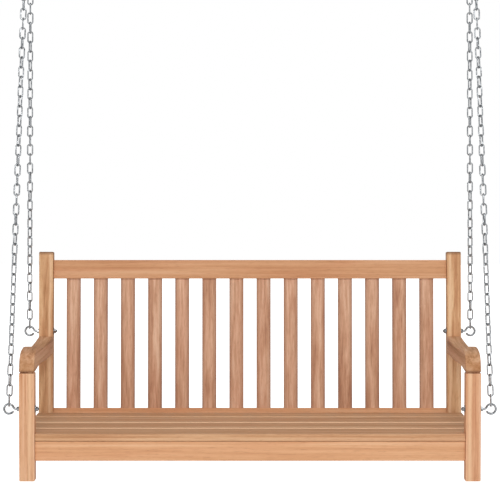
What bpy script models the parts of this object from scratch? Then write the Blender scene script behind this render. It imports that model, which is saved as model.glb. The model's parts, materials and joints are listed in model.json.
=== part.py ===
"""Porch swing: a slatted teak bench that hangs on four galvanised chains.

Metres, +Z up, +Y towards the back of the bench. The origin is under the middle of the bench,
at the height of the leg ends. Depths are measured back from the front faces of the front legs.
"""
import math

import bmesh
import bpy
from mathutils import Matrix, Vector

for old in list(bpy.data.objects):
    bpy.data.objects.remove(old, do_unlink=True)

# Overall sizes
BENCH_WIDTH = 1.200
BENCH_HEIGHT = 0.5783
SEAT_RUN = 0.500          # leg front face to post front face, at seat height
SEAT_HEIGHT = 0.1237
LEAN = math.radians(4.0)  # how far the back leans from upright

# Timber sections
TIMBER = 0.040            # legs, posts and armrests are this wide and legs and posts this deep
RAIL_THICK = 0.022
RAIL_LOW = 0.053          # underside of the seat rails
SEAT_THICK = 0.020
SEAT_SLAT_WIDTH = 0.119
SEAT_GAP = 0.012
SEAT_EDGE_ROUND = 0.005
BACK_SLAT_WIDTH = 0.040
BACK_SLAT_THICK = 0.012
BACK_SLAT_COUNT = 14
TOP_RAIL_HEIGHT = 0.0525
TOP_RAIL_DROP = 0.0233    # post top down to the top edge of the top rail, along the back
REAR_RAIL_ABOVE_SEAT = 0.0115
LEG_HEIGHT = 0.2855
FRONT_RAIL_SETBACK = 0.007
SEAT_SETBACK = 0.004
REAR_SLAT_CLEAR = 0.006   # rear seat slat to the front face of the posts
BACK_SETBACK = 0.008      # post front face to the front of the top and rear rails
POST_CHAMFER = 0.004

# Joints between timbers
FIT = 0.0003              # gap between two pieces that touch
SHOULDER = 0.006
TENON_WALL = 0.003        # wood between two mortises that come near each other
SUPPORT_TENON = 0.010
SLAT_HOUSING = 0.010      # how deep a back slat sits in each rail
LEG_TENON = 0.022
LEG_TENON_LENGTH = 0.022
ARM_TENON_WIDTH = 0.018
ARM_TENON_HEIGHT = 0.024
ARM_TENON_LENGTH = 0.013

# Armrest outline, heights above the leg top at depths from the front
ARM_NOSE_DEPTH = 0.064
ARM_CREST = 0.0540
ARM_DISH = 0.0420
ARM_BACK_TOP = 0.0530
ARM_BACK_LOW = 0.0050
ARM_BELLY = 0.0020

# Hardware
WIRE = 0.006              # eye bolts and hanging rings
EYE_RADIUS = 0.013        # to the middle of the wire
EYE_REACH = 0.028         # leg outer face to the middle of the eye
FRONT_EYE_DROP = 0.098    # leg top down to the front eyes
BACK_EYE_RISE = 0.0135    # armrest's rear end up to the back eyes
BOLT_CLEARANCE = 0.0005
WASHER_RADIUS = 0.010
WASHER_THICK = 0.0015
NUT_FLATS = 0.011
NUT_THICK = 0.0055
BOLT_TAIL = 0.003         # bolt end past the inner nut
LINK_WIRE = 0.004
LINK_PLAY = 0.0035        # inside width of a link past the wire it goes round
LINK_PITCH = 0.0265       # inside length of a link and one wire, less the play
CHAIN_BAR = 0.0035        # radius of a plain bar as heavy as the links it stands for
RING_RADIUS = 0.023       # to the middle of the wire
RING_SPLAY = 0.0055       # each chain sits this far from the lowest point of its ring
RING_INSET = 0.003        # bench outer face in to the ring
HANG_HEIGHT = 1.7585       # leg ends up to the lowest wire of the rings
BALANCE = 0.5548          # where the bench balances, as a share of its depth from the front
HOOK_WIRE = 0.008         # ceiling eyes
HOOK_RADIUS = 0.016
HOOK_STEM = 0.012         # between the eye and the plate
STEM_RADIUS = 0.0036
PLATE_LENGTH = 0.090
PLATE_WIDTH = 0.040
PLATE_THICK = 0.005
PLATE_HOLE = 0.0035       # radius
PLATE_HOLE_SPACING = 0.064

# Sizes that follow from the ones above
RAIL_TOP = SEAT_HEIGHT - SEAT_THICK - FIT
LINK_WIDTH = WIRE + LINK_PLAY + 2 * LINK_WIRE   # outside
HALF = BENCH_WIDTH / 2
INNER = HALF - TIMBER                      # inner faces of the legs and posts
BACK_LENGTH = (BENCH_HEIGHT - SEAT_HEIGHT) / math.cos(LEAN)
BENCH_DEPTH = SEAT_RUN + (BACK_LENGTH - POST_CHAMFER) * math.sin(LEAN) + TIMBER * math.cos(LEAN)
FRONT = -BENCH_DEPTH / 2                   # world Y of the leg front faces
REAR_RAIL_HEIGHT = SEAT_HEIGHT + REAR_RAIL_ABOVE_SEAT - RAIL_LOW
SIDE_TENON = TIMBER / 2
CROSS_TENON = TIMBER / 2 - (RAIL_THICK / 2 - SHOULDER) - TENON_WALL   # stops short of the side tenons
SIDES = {"left": -1, "right": 1}

TEAK = {"front_leg": "D7A47C", "back_post": "C9976E", "armrest": "CE9D74", "rail": "D3A078",
        "seat": "C9976D", "back": "C08C68"}
part_collection = bpy.data.collections.new("porch_swing")
cutter_collection = bpy.data.collections.new("cutters")
for collection in (part_collection, cutter_collection):
    bpy.context.scene.collection.children.link(collection)


def linear(channel):
    return channel / 12.92 if channel <= 0.04045 else ((channel + 0.055) / 1.055) ** 2.4


def finish(name, colour, roughness, metallic):
    material = bpy.data.materials.new(name)
    material.use_nodes = True
    shader = material.node_tree.nodes["Principled BSDF"]
    rgb = [linear(int(colour[i:i + 2], 16) / 255) for i in (0, 2, 4)]
    shader.inputs["Base Color"].default_value = (*rgb, 1.0)
    shader.inputs["Roughness"].default_value = roughness
    shader.inputs["Metallic"].default_value = metallic
    return material


def teak(name, kind):
    return finish(f"{name}_teak", TEAK[kind], 0.6, 0.0)


def zinc(name):
    return finish(f"{name}_zinc", "B9BBBD", 0.38, 1.0)


def add_object(name, mesh, material=None, collection=part_collection):
    thing = bpy.data.objects.new(name, mesh)
    collection.objects.link(thing)
    if material:
        mesh.materials.clear()
        mesh.materials.append(material)
    return thing


def block_mesh(name, low, high):
    """A box between two corners."""
    low, high = Vector(low), Vector(high)
    bm = bmesh.new()
    bmesh.ops.create_cube(bm, size=1.0)
    bmesh.ops.transform(bm, matrix=Matrix.LocRotScale((low + high) / 2, None, high - low), verts=bm.verts)
    mesh = bpy.data.meshes.new(name)
    bm.to_mesh(mesh)
    bm.free()
    return mesh


def add_tenon(mesh, axis, end, length, shoulder=SHOULDER):
    """Insets the end face that looks along axis and draws it out as a tenon."""
    bm = bmesh.new()
    bm.from_mesh(mesh)
    facing = Vector([end if i == axis else 0 for i in range(3)])
    bm.normal_update()
    ends = [f for f in bm.faces if f.normal.dot(facing) > 0.999]
    face = max(ends, key=lambda f: f.calc_center_median().dot(facing))
    bmesh.ops.inset_region(bm, faces=[face], thickness=shoulder, use_even_offset=True)
    drawn = bmesh.ops.extrude_face_region(bm, geom=[face])["geom"]
    bmesh.ops.delete(bm, geom=[face], context="FACES_ONLY")
    moved = [v for v in drawn if isinstance(v, bmesh.types.BMVert)]
    bmesh.ops.translate(bm, verts=moved, vec=facing * length)
    bm.to_mesh(mesh)
    bm.free()


def mesh_of(thing):
    """The evaluated mesh of a curve or modified object, welded, in the object's own space."""
    bpy.context.view_layer.update()
    evaluated = thing.evaluated_get(bpy.context.evaluated_depsgraph_get())
    mesh = bpy.data.meshes.new_from_object(evaluated)
    bm = bmesh.new()
    bm.from_mesh(mesh)
    bmesh.ops.remove_doubles(bm, verts=bm.verts, dist=0.00001)
    bmesh.ops.recalc_face_normals(bm, faces=bm.faces)
    bm.to_mesh(mesh)
    bm.free()
    bpy.data.objects.remove(thing, do_unlink=True)
    return mesh


def wire_mesh(points, radius, closed=False):
    """A bent wire of six sides through points."""
    curve = bpy.data.curves.new("wire", "CURVE")
    curve.dimensions = "3D"
    spline = curve.splines.new("POLY")
    spline.points.add(len(points) - 1)
    for slot, point in zip(spline.points, points):
        slot.co = (*point, 1.0)
    spline.use_cyclic_u = closed
    curve.bevel_depth = radius
    curve.bevel_resolution = 1
    curve.use_fill_caps = not closed
    return mesh_of(add_object("wire", curve))


def outline_mesh(loops, thickness, smooth=()):
    """A flat outline, drawn as (depth, height) loops and thick along X, centred on X = 0.

    smooth holds the indices of the first loop's points where the outline runs round and not sharp.
    """
    curve = bpy.data.curves.new("outline", "CURVE")
    curve.dimensions = "2D"
    curve.fill_mode = "BOTH"
    curve.extrude = thickness / 2
    curve.resolution_u = 5 if smooth else 1
    for number, loop in enumerate(loops):
        spline = curve.splines.new("BEZIER")
        spline.bezier_points.add(len(loop) - 1)
        spline.use_cyclic_u = True
        for index, (slot, (depth, height)) in enumerate(zip(spline.bezier_points, loop)):
            kind = "AUTO" if number == 0 and index in smooth else "VECTOR"
            slot.co = (depth, height, 0.0)
            slot.handle_left_type = slot.handle_right_type = kind
    mesh = mesh_of(add_object("outline", curve))
    # drawn in local XY: turn X to world Y, Y to world Z and Z to world X
    mesh.transform(Matrix(((0, 0, 1, 0), (1, 0, 0, 0), (0, 1, 0, 0), (0, 0, 0, 1))))
    return mesh


def turned_mesh(profile, sides):
    """A shape turned about Z from (radius, height) points that run down its outer side."""
    mesh = bpy.data.meshes.new("turned")
    mesh.from_pydata([(r, 0.0, z) for r, z in profile], [(i, i + 1) for i in range(len(profile) - 1)], [])
    thing = add_object("turned", mesh)
    screw = thing.modifiers.new("turn", "SCREW")
    screw.steps = screw.render_steps = sides
    screw.use_merge_vertices = True
    screw.merge_threshold = 0.00001
    return mesh_of(thing)


def ring_mesh(major, minor, major_sides, minor_sides):
    """A closed ring in the YZ plane."""
    bpy.ops.mesh.primitive_torus_add(major_radius=major, minor_radius=minor, major_segments=major_sides,
                                     minor_segments=minor_sides, rotation=(0, math.pi / 2, 0))
    thing = bpy.context.active_object
    turn = thing.matrix_world.copy()
    thing.matrix_world = Matrix.Identity(4)
    mesh = mesh_of(thing)
    mesh.transform(turn)
    return mesh


def gathered(name, mesh, places):
    """One mesh that holds a copy of mesh at each place."""
    bm = bmesh.new()
    for place in places:
        first = len(bm.verts)
        bm.from_mesh(mesh)
        bm.verts.ensure_lookup_table()
        bmesh.ops.transform(bm, matrix=place, verts=bm.verts[first:])
    result = bpy.data.meshes.new(name)
    bm.to_mesh(result)
    bm.free()
    return result


def cut(thing, mesh, parent=None):
    """Takes the cutter's shape out of thing. A cutter drawn in a parent's space rides on the parent."""
    cutter = add_object(f"cut_{thing.name}", mesh, collection=cutter_collection)
    cutter.hide_render = True
    cutter.display_type = "WIRE"
    cutter.parent = parent
    boolean = thing.modifiers.new("cut", "BOOLEAN")
    boolean.operation = "DIFFERENCE"
    boolean.solver = "EXACT"
    boolean.object = cutter


def fuse(thing, mesh):
    """Joins the shape to thing as one solid."""
    cut(thing, mesh)
    thing.modifiers[-1].operation = "UNION"


def grown(low, high, amount=FIT):
    """The corners of a box that clears the given one all round."""
    pad = Vector((amount, amount, amount))
    return Vector(low) - pad, Vector(high) + pad


def cut_box(thing, low, high, parent=None):
    cut(thing, block_mesh("mortise", *grown(low, high)), parent)


def empty(name, place, parent=None):
    marker = bpy.data.objects.new(name, None)
    part_collection.objects.link(marker)
    marker.location = place
    bpy.context.view_layer.update()
    if parent:
        marker.parent = parent
        marker.matrix_parent_inverse = parent.matrix_world.inverted()
    bpy.context.view_layer.update()
    return marker


def hang(thing, parent):
    """Puts thing under parent and leaves it where it is."""
    bpy.context.view_layer.update()
    thing.parent = parent
    thing.matrix_parent_inverse = parent.matrix_world.inverted()


# Where the chains hold the bench and hang from the rings
post_front = FRONT + SEAT_RUN
front_eye = Vector((HALF + EYE_REACH, FRONT + TIMBER / 2, LEG_HEIGHT - FRONT_EYE_DROP))
back_eye = Vector((HALF + EYE_REACH, 0.0, LEG_HEIGHT + ARM_BACK_TOP + BACK_EYE_RISE))
back_eye.y = post_front + (back_eye.z - SEAT_HEIGHT) * math.tan(LEAN) + TIMBER / 2 / math.cos(LEAN)
ring_low = Vector((HALF - RING_INSET, FRONT + BALANCE * BENCH_DEPTH, HANG_HEIGHT))
link_seat = WIRE / 2 + LINK_WIRE / 2 + FIT   # between the middles of a link's wire and the wire it rests on
eye_seat = EYE_RADIUS - link_seat            # the eye's middle up to the wire in it
hook_axis = ring_low.z + 2 * RING_RADIUS - WIRE / 2 - HOOK_WIRE / 2 - FIT

swing_axis = empty("swing_axis", (0, ring_low.y, hook_axis))
left_sway_axis = empty("left_sway_axis", (-ring_low.x, ring_low.y, ring_low.z), swing_axis)
bench_axis = empty("bench_axis", (-front_eye.x, front_eye.y, front_eye.z + eye_seat), left_sway_axis)
right_sway_axis = empty("right_sway_axis", (front_eye.x, front_eye.y, front_eye.z + eye_seat), bench_axis)
back_frame = empty("back_frame", (0, post_front, SEAT_HEIGHT), bench_axis)
back_frame.rotation_euler.x = -LEAN
bpy.context.view_layer.update()

# In the back frame's own space Y runs through the rails and Z up along the back
TOP_RAIL_TOP = BACK_LENGTH - TOP_RAIL_DROP
TOP_RAIL_LOW = TOP_RAIL_TOP - TOP_RAIL_HEIGHT
REAR_RAIL_TOP = REAR_RAIL_ABOVE_SEAT
REAR_RAIL_LOW = REAR_RAIL_TOP - REAR_RAIL_HEIGHT


def on_back(depth, rise):
    """World depth and height of a point in the back frame's space."""
    return (post_front + depth * math.cos(LEAN) + rise * math.sin(LEAN),
            SEAT_HEIGHT - depth * math.sin(LEAN) + rise * math.cos(LEAN))


def tenon_box(box, axis, length):
    """The box that runs through both tenons of a rail that lies along axis."""
    inset = Vector([-length if i == axis else SHOULDER for i in range(3)])
    return box[0] + inset, box[1] - inset


def front_rail_box():
    start = FRONT + FRONT_RAIL_SETBACK
    return Vector((-INNER + FIT, start, RAIL_LOW)), Vector((INNER - FIT, start + RAIL_THICK, RAIL_TOP))


def back_rail_box(low, high):
    return (Vector((-INNER + FIT, BACK_SETBACK, low)),
            Vector((INNER - FIT, BACK_SETBACK + RAIL_THICK, high)))


def side_rail_box(side):
    middle = side * (HALF - TIMBER / 2)
    return (Vector((middle - RAIL_THICK / 2, FRONT + TIMBER + FIT, RAIL_LOW)),
            Vector((middle + RAIL_THICK / 2, post_front - FIT, RAIL_TOP)))


def support_box():
    rail_back = FRONT + FRONT_RAIL_SETBACK + RAIL_THICK
    rear = on_back(BACK_SETBACK, REAR_RAIL_LOW)[0]   # the rear rail leans, so its foot is nearest
    return (Vector((-RAIL_THICK / 2, rail_back + FIT, RAIL_LOW)),
            Vector((RAIL_THICK / 2, rear - FIT, RAIL_TOP)))


# Timbers
def make_leg(name, side):
    middle = side * (HALF - TIMBER / 2)
    low = (middle - TIMBER / 2, FRONT, 0)
    mesh = block_mesh(name, low, (middle + TIMBER / 2, FRONT + TIMBER, LEG_HEIGHT))
    add_tenon(mesh, 2, 1, LEG_TENON_LENGTH, (TIMBER - LEG_TENON) / 2)
    leg = add_object(name, mesh, teak(name, "front_leg"))
    cut_box(leg, *tenon_box(front_rail_box(), 0, CROSS_TENON))
    cut_box(leg, *tenon_box(side_rail_box(side), 1, SIDE_TENON))
    cut(leg, bolt_hole(front_eye, side))
    return leg


def bolt_hole(eye, side):
    """A cylinder along X through the timber that an eye bolt passes."""
    hole = turned_mesh([(0, TIMBER), (WIRE / 2 + BOLT_CLEARANCE, TIMBER),
                        (WIRE / 2 + BOLT_CLEARANCE, -TIMBER), (0, -TIMBER)], 12)
    place = Matrix.Translation((side * (HALF - TIMBER / 2), eye.y, eye.z))
    hole.transform(place @ Matrix.Rotation(math.pi / 2, 4, "Y"))
    return hole


def arm_tenon_box(side):
    """The tenon at the back of an armrest, level, with its root just inside the arm."""
    middle = side * (HALF - TIMBER / 2)
    height = LEG_HEIGHT + (ARM_BACK_TOP + ARM_BACK_LOW) / 2
    face = post_front + (height - SEAT_HEIGHT) * math.tan(LEAN)
    return (Vector((middle - ARM_TENON_WIDTH / 2, face - TIMBER / 4, height - ARM_TENON_HEIGHT / 2)),
            Vector((middle + ARM_TENON_WIDTH / 2, face + ARM_TENON_LENGTH, height + ARM_TENON_HEIGHT / 2)))


def make_post(name, side):
    bend_back = SEAT_HEIGHT - TIMBER * math.tan(LEAN / 2)
    below = BACK_LENGTH - POST_CHAMFER
    outline = [(post_front, 0.0), (post_front + TIMBER, 0.0), (post_front + TIMBER, bend_back),
               on_back(TIMBER, below), on_back(TIMBER - POST_CHAMFER, BACK_LENGTH),
               on_back(POST_CHAMFER, BACK_LENGTH), on_back(0.0, below), (post_front, SEAT_HEIGHT)]
    mesh = outline_mesh([outline], TIMBER)
    mesh.transform(Matrix.Translation((side * (HALF - TIMBER / 2), 0, 0)))
    post = add_object(name, mesh, teak(name, "back_post"))
    for low, high in ((TOP_RAIL_LOW, TOP_RAIL_TOP), (REAR_RAIL_LOW, REAR_RAIL_TOP)):
        cut_box(post, *tenon_box(back_rail_box(low, high), 0, CROSS_TENON), back_frame)
    cut_box(post, *tenon_box(side_rail_box(side), 1, SIDE_TENON))
    cut_box(post, *arm_tenon_box(side))
    cut(post, bolt_hole(back_eye, side))
    return post


def make_armrest(name, side):
    """A shaped arm: a rounded nose over the leg, a dished top and a shallow belly underneath."""
    under = LEG_HEIGHT + FIT

    def post_face(height):
        return post_front + (height - SEAT_HEIGHT) * math.tan(LEAN) - FIT

    back_top, back_low = LEG_HEIGHT + ARM_BACK_TOP, LEG_HEIGHT + ARM_BACK_LOW
    run = SEAT_RUN
    outline = [(FRONT, under), (FRONT + 0.12 * run, under),
               (FRONT + 0.27 * run, under + ARM_BACK_LOW), (FRONT + 0.64 * run, under + ARM_BELLY),
               (post_face(back_low), back_low), (post_face(back_top), back_top),
               (FRONT + 0.78 * run, LEG_HEIGHT + 0.85 * ARM_BACK_TOP),
               (FRONT + 0.50 * run, LEG_HEIGHT + ARM_DISH),
               (FRONT + ARM_NOSE_DEPTH, LEG_HEIGHT + ARM_CREST),
               (FRONT + 0.22 * ARM_NOSE_DEPTH, LEG_HEIGHT + 0.64 * ARM_CREST)]
    mesh = outline_mesh([outline], TIMBER, smooth=(2, 3, 6, 7, 8, 9))
    mesh.transform(Matrix.Translation((side * (HALF - TIMBER / 2), 0, 0)))
    arm = add_object(name, mesh, teak(name, "armrest"))
    fuse(arm, block_mesh("tenon", *arm_tenon_box(side)))
    middle = side * (HALF - TIMBER / 2)
    leg_middle = FRONT + TIMBER / 2
    cut_box(arm, (middle - LEG_TENON / 2, leg_middle - LEG_TENON / 2, LEG_HEIGHT - FIT),
            (middle + LEG_TENON / 2, leg_middle + LEG_TENON / 2, LEG_HEIGHT + LEG_TENON_LENGTH))
    return arm


def make_front_rail():
    mesh = block_mesh("front_rail", *front_rail_box())
    for end in (-1, 1):
        add_tenon(mesh, 0, end, CROSS_TENON)
    rail = add_object("front_rail", mesh, teak("front_rail", "rail"))
    cut_box(rail, *tenon_box(support_box(), 1, SUPPORT_TENON))
    return rail


def make_back_rail(name, low, high, slat_edge):
    """A leaning rail, drawn in the back frame's space, housed for every back slat."""
    mesh = block_mesh(name, *back_rail_box(low, high))
    for end in (-1, 1):
        add_tenon(mesh, 0, end, CROSS_TENON)
    rail = add_object(name, mesh, teak(name, "rail"))
    rail.parent = back_frame
    reach = (slat_edge - SLAT_HOUSING, slat_edge + SLAT_HOUSING)
    housings = [back_slat_box(middle, *reach) for middle in back_slat_middles()]
    size = housings[0][1] - housings[0][0]
    pad = FIT * 2
    comb = gathered("housings", block_mesh("housing", -size / 2, size / 2),
                    [Matrix.LocRotScale((low_corner + high_corner) / 2, None,
                                        Vector([(edge + pad) / edge for edge in size]))
                     for low_corner, high_corner in housings])
    cut(rail, comb, back_frame)
    return rail


def make_side_rail(name, side):
    mesh = block_mesh(name, *side_rail_box(side))
    for end in (-1, 1):
        add_tenon(mesh, 1, end, SIDE_TENON)
    return add_object(name, mesh, teak(name, "rail"))


def make_support():
    mesh = block_mesh("centre_support", *support_box())
    for end in (-1, 1):
        add_tenon(mesh, 1, end, SUPPORT_TENON)
    return add_object("centre_support", mesh, teak("centre_support", "rail"))


# Seat
def seat_slat_edges():
    """Front and rear depths of each seat slat. The rear slat takes the room that is left."""
    start = FRONT + SEAT_SETBACK
    last = post_front - REAR_SLAT_CLEAR
    pitch = SEAT_SLAT_WIDTH + SEAT_GAP
    count = round((last - start + SEAT_GAP) / pitch)
    fronts = [start + i * pitch for i in range(count)]
    return [(front, front + SEAT_SLAT_WIDTH) for front in fronts[:-1]] + [(fronts[-1], last)]


def make_seat_slat(number, start, end):
    """A slat rounded along both long edges. The front one is notched round the legs."""
    name = f"seat_slat_{number + 1}"
    low = SEAT_HEIGHT - SEAT_THICK
    section = [(start, low), (end, low), (end, SEAT_HEIGHT), (start, SEAT_HEIGHT)]
    mesh = outline_mesh([section], BENCH_WIDTH)
    bm = bmesh.new()
    bm.from_mesh(mesh)
    along = [e for e in bm.edges if e.calc_length() > BENCH_WIDTH * 0.9]
    bmesh.ops.bevel(bm, geom=along, offset=SEAT_EDGE_ROUND, segments=3, profile=0.5, affect="EDGES")
    bm.to_mesh(mesh)
    bm.free()
    slat = add_object(name, mesh, teak(name, "seat"))
    if start < FRONT + TIMBER:
        for side in SIDES.values():
            across = sorted((side * INNER, side * (HALF + TIMBER)))
            notch_top = SEAT_HEIGHT + TIMBER
            cut_box(slat, (across[0], FRONT, low - TIMBER), (across[1], FRONT + TIMBER, notch_top))
    return slat


# Back
def back_slat_middles():
    gap = (2 * INNER - BACK_SLAT_COUNT * BACK_SLAT_WIDTH) / (BACK_SLAT_COUNT + 1)
    first = -INNER + gap + BACK_SLAT_WIDTH / 2
    return [first + i * (gap + BACK_SLAT_WIDTH) for i in range(BACK_SLAT_COUNT)]


def back_slat_box(middle, low=REAR_RAIL_TOP - SLAT_HOUSING, high=TOP_RAIL_LOW + SLAT_HOUSING):
    centre = BACK_SETBACK + RAIL_THICK / 2
    return (Vector((middle - BACK_SLAT_WIDTH / 2, centre - BACK_SLAT_THICK / 2, low)),
            Vector((middle + BACK_SLAT_WIDTH / 2, centre + BACK_SLAT_THICK / 2, high)))


def make_back_slat(number, middle):
    name = f"back_slat_{number + 1:02d}"
    slat = add_object(name, block_mesh(name, *back_slat_box(middle)), teak(name, "back"))
    slat.parent = back_frame
    return slat


# Hardware
def make_eye_bolt(name, eye, side):
    """A rod through the timber, bent round into an open eye that stands upright across the bench."""
    inner_end = -(EYE_REACH + TIMBER + WASHER_THICK + NUT_THICK + 2 * FIT + BOLT_TAIL)
    start, stop = math.radians(222), math.radians(512)
    steps = 14
    loop = [(EYE_RADIUS * math.cos(a), EYE_RADIUS * math.sin(a))
            for a in (stop + (start - stop) * i / steps for i in range(steps + 1))]
    neck = -(EYE_RADIUS + WIRE * 0.9)
    path = [(inner_end, 0.0), (neck, 0.0)] + loop
    mesh = wire_mesh([(side * x, 0.0, z) for x, z in path], WIRE / 2)
    bolt = add_object(name, mesh, zinc(name))
    bolt.location = (side * eye.x, eye.y, eye.z)
    return bolt


def fastener_places(thick, gap):
    """Where a flat fastener sits on each eye bolt, outside and inside the timber."""
    for end, eye in (("front", front_eye), ("back", back_eye)):
        for side_name, side in SIDES.items():
            yield f"outer_{end}_{side_name}", (side * (HALF + gap + thick / 2), eye.y, eye.z)
            yield f"inner_{end}_{side_name}", (side * (INNER - gap - thick / 2), eye.y, eye.z)


def make_washers():
    """Washers between the nuts and the timber, all from one turned shape."""
    bore = WIRE / 2 + FIT
    half = WASHER_THICK / 2
    rim = WASHER_RADIUS
    mesh = turned_mesh([(bore, half), (rim, half), (rim, -half), (bore, -half), (bore, half)], 12)
    mesh.transform(Matrix.Rotation(math.pi / 2, 4, "Y"))
    return fasteners("washer", mesh, fastener_places(WASHER_THICK, FIT))


def fasteners(kind, mesh, places):
    pieces = []
    for where, place in places:
        piece = add_object(f"{kind}_{where}", mesh.copy(), zinc(f"{kind}_{where}"))
        piece.location = place
        pieces.append(piece)
    return pieces


def polygon(radius, corners):
    turns = [i * math.tau / corners for i in range(corners)]
    return [(radius * math.cos(turn), radius * math.sin(turn)) for turn in turns]


def make_nuts():
    mesh = outline_mesh([polygon(NUT_FLATS / math.sqrt(3), 6), polygon(WIRE / 2 + 2 * FIT, 8)], NUT_THICK)
    return fasteners("nut", mesh, fastener_places(NUT_THICK, WASHER_THICK + 2 * FIT))


def link_mesh(reach):
    """One chain link standing on Z in the XZ plane, reach between the wires of its two ends."""
    bow = (LINK_WIDTH - LINK_WIRE) / 2
    steps = 6
    turns = [i * math.pi / steps for i in range(steps + 1)]
    arc = [(bow * math.cos(turn), bow * math.sin(turn)) for turn in turns]
    points = [(x, 0.0, reach / 2 - bow + z) for x, z in arc]
    points += [(-x, 0.0, bow - reach / 2 - z) for x, z in arc]
    return wire_mesh(points, LINK_WIRE / 2, closed=True)


def chain_ends(eye, fore, side):
    """The middle of the wire in the eye and of the wire over the ring, the ends of the chain's line."""
    low = Vector((side * eye.x, eye.y, eye.z + eye_seat))
    splay = math.asin(RING_SPLAY / RING_RADIUS)
    reach = RING_RADIUS - link_seat
    high = Vector((side * ring_low.x, ring_low.y - fore * reach * math.sin(splay),
                   ring_low.z + RING_RADIUS - reach * math.cos(splay)))
    return low, high


def chain_space(low, high):
    """A frame at the low end with Z up the chain and Y towards the back."""
    up = (high - low).normalized()
    across = Vector((0, 1, 0)).cross(up).normalized()
    turn = Matrix((across, up.cross(across), up)).transposed().to_4x4()
    return Matrix.Translation(low) @ turn


def make_chain(name, eye, fore, side):
    """The end links in their true shape, and between them a plain bar as heavy as the other links.

    The lower link stands edge-on in the eye and the upper one lies square across the ring.
    """
    low, high = chain_ends(eye, fore, side)
    reach = LINK_PITCH + LINK_WIRE + FIT
    length = (high - low).length
    foot = reach - LINK_WIRE / 4   # just past the middle of the wire, so that no faces coincide
    top = length - foot
    bar = turned_mesh([(0, top), (CHAIN_BAR, top), (CHAIN_BAR, foot), (0, foot)], 8)
    chain = add_object(name, bar, zinc(name))
    chain.matrix_world = chain_space(low, high)
    for middle, turn in ((reach / 2, math.pi / 2), (length - reach / 2, 0.0)):
        link = link_mesh(reach)
        place = Matrix.Translation((0, 0, middle)) @ Matrix.Rotation(turn, 4, "Z")
        link.transform(chain.matrix_world @ place)
        fuse(chain, link)
    return chain


def make_hanging_ring(name, side):
    ring = add_object(name, ring_mesh(RING_RADIUS, WIRE / 2, 16, 6), zinc(name))
    ring.location = (side * ring_low.x, ring_low.y, ring_low.z + RING_RADIUS)
    return ring


def make_ceiling_eye(name, side):
    """A closed eye across the bench with a stem that goes up into its plate."""
    middle = hook_axis + HOOK_RADIUS
    eye = ring_mesh(HOOK_RADIUS, HOOK_WIRE / 2, 14, 6)
    eye.transform(Matrix.Rotation(math.pi / 2, 4, "Z"))
    ring = add_object(name, eye, zinc(name))
    ring.location = (side * ring_low.x, ring_low.y, middle)
    stem_top = HOOK_RADIUS + HOOK_STEM + PLATE_THICK - FIT
    profile = [(0, stem_top), (STEM_RADIUS, stem_top), (STEM_RADIUS, HOOK_RADIUS), (0, HOOK_RADIUS)]
    stem = turned_mesh(profile, 12)
    stem.transform(Matrix.Translation(ring.location))
    fuse(ring, stem)
    return ring


def make_ceiling_plate(name, side):
    """A flat plate with two fixing holes and the hole that the eye's stem goes up into."""
    low = hook_axis + 2 * HOOK_RADIUS + HOOK_STEM
    centre = Vector((side * ring_low.x, ring_low.y, low + PLATE_THICK / 2))
    half = Vector((PLATE_WIDTH, PLATE_LENGTH, PLATE_THICK)) / 2
    plate = add_object(name, block_mesh(name, -half, half), zinc(name))
    plate.location = centre
    spread = PLATE_HOLE_SPACING / 2
    deep = PLATE_THICK
    for offset, radius in ((0.0, STEM_RADIUS + FIT), (spread, PLATE_HOLE), (-spread, PLATE_HOLE)):
        hole = turned_mesh([(0, deep), (radius, deep), (radius, -deep), (0, -deep)], 12)
        hole.transform(Matrix.Translation(centre + Vector((0, offset, 0))))
        cut(plate, hole)
    return plate


bench = [make_front_rail(), make_support()] + make_washers() + make_nuts()
for side_name, side in SIDES.items():
    bench += [make_leg(f"front_leg_{side_name}", side), make_post(f"back_post_{side_name}", side),
              make_armrest(f"armrest_{side_name}", side), make_side_rail(f"side_rail_{side_name}", side),
              make_eye_bolt(f"eye_bolt_front_{side_name}", front_eye, side),
              make_eye_bolt(f"eye_bolt_back_{side_name}", back_eye, side)]
bench += [make_seat_slat(number, *edges) for number, edges in enumerate(seat_slat_edges())]
make_back_rail("top_rail", TOP_RAIL_LOW, TOP_RAIL_TOP, TOP_RAIL_LOW)
make_back_rail("rear_rail", REAR_RAIL_LOW, REAR_RAIL_TOP, REAR_RAIL_TOP)
cut_box(bpy.data.objects["rear_rail"], *tenon_box(support_box(), 1, SUPPORT_TENON))
for number, middle in enumerate(back_slat_middles()):
    make_back_slat(number, middle)
for piece in bench:
    hang(piece, bench_axis)

for side_name, side in SIDES.items():
    chains = [make_chain(f"chain_front_{side_name}", front_eye, 1, side),
              make_chain(f"chain_back_{side_name}", back_eye, -1, side)]
    for chain in chains:
        hang(chain, left_sway_axis if side < 0 else right_sway_axis)
    hang(make_hanging_ring(f"hanging_ring_{side_name}", side), swing_axis)
    make_ceiling_eye(f"ceiling_eye_{side_name}", side)
    make_ceiling_plate(f"ceiling_plate_{side_name}", side)

for thing in part_collection.objects:
    if thing.type == "MESH" and thing.name.startswith(("eye_bolt", "chain", "hanging_ring", "ceiling_eye")):
        thing.data.shade_smooth()
        thing.data.set_sharp_from_angle(angle=math.radians(50))
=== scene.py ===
import json
import math

import bmesh
import bpy
from mathutils import Matrix, Vector
from mathutils.bvhtree import BVHTree


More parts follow.
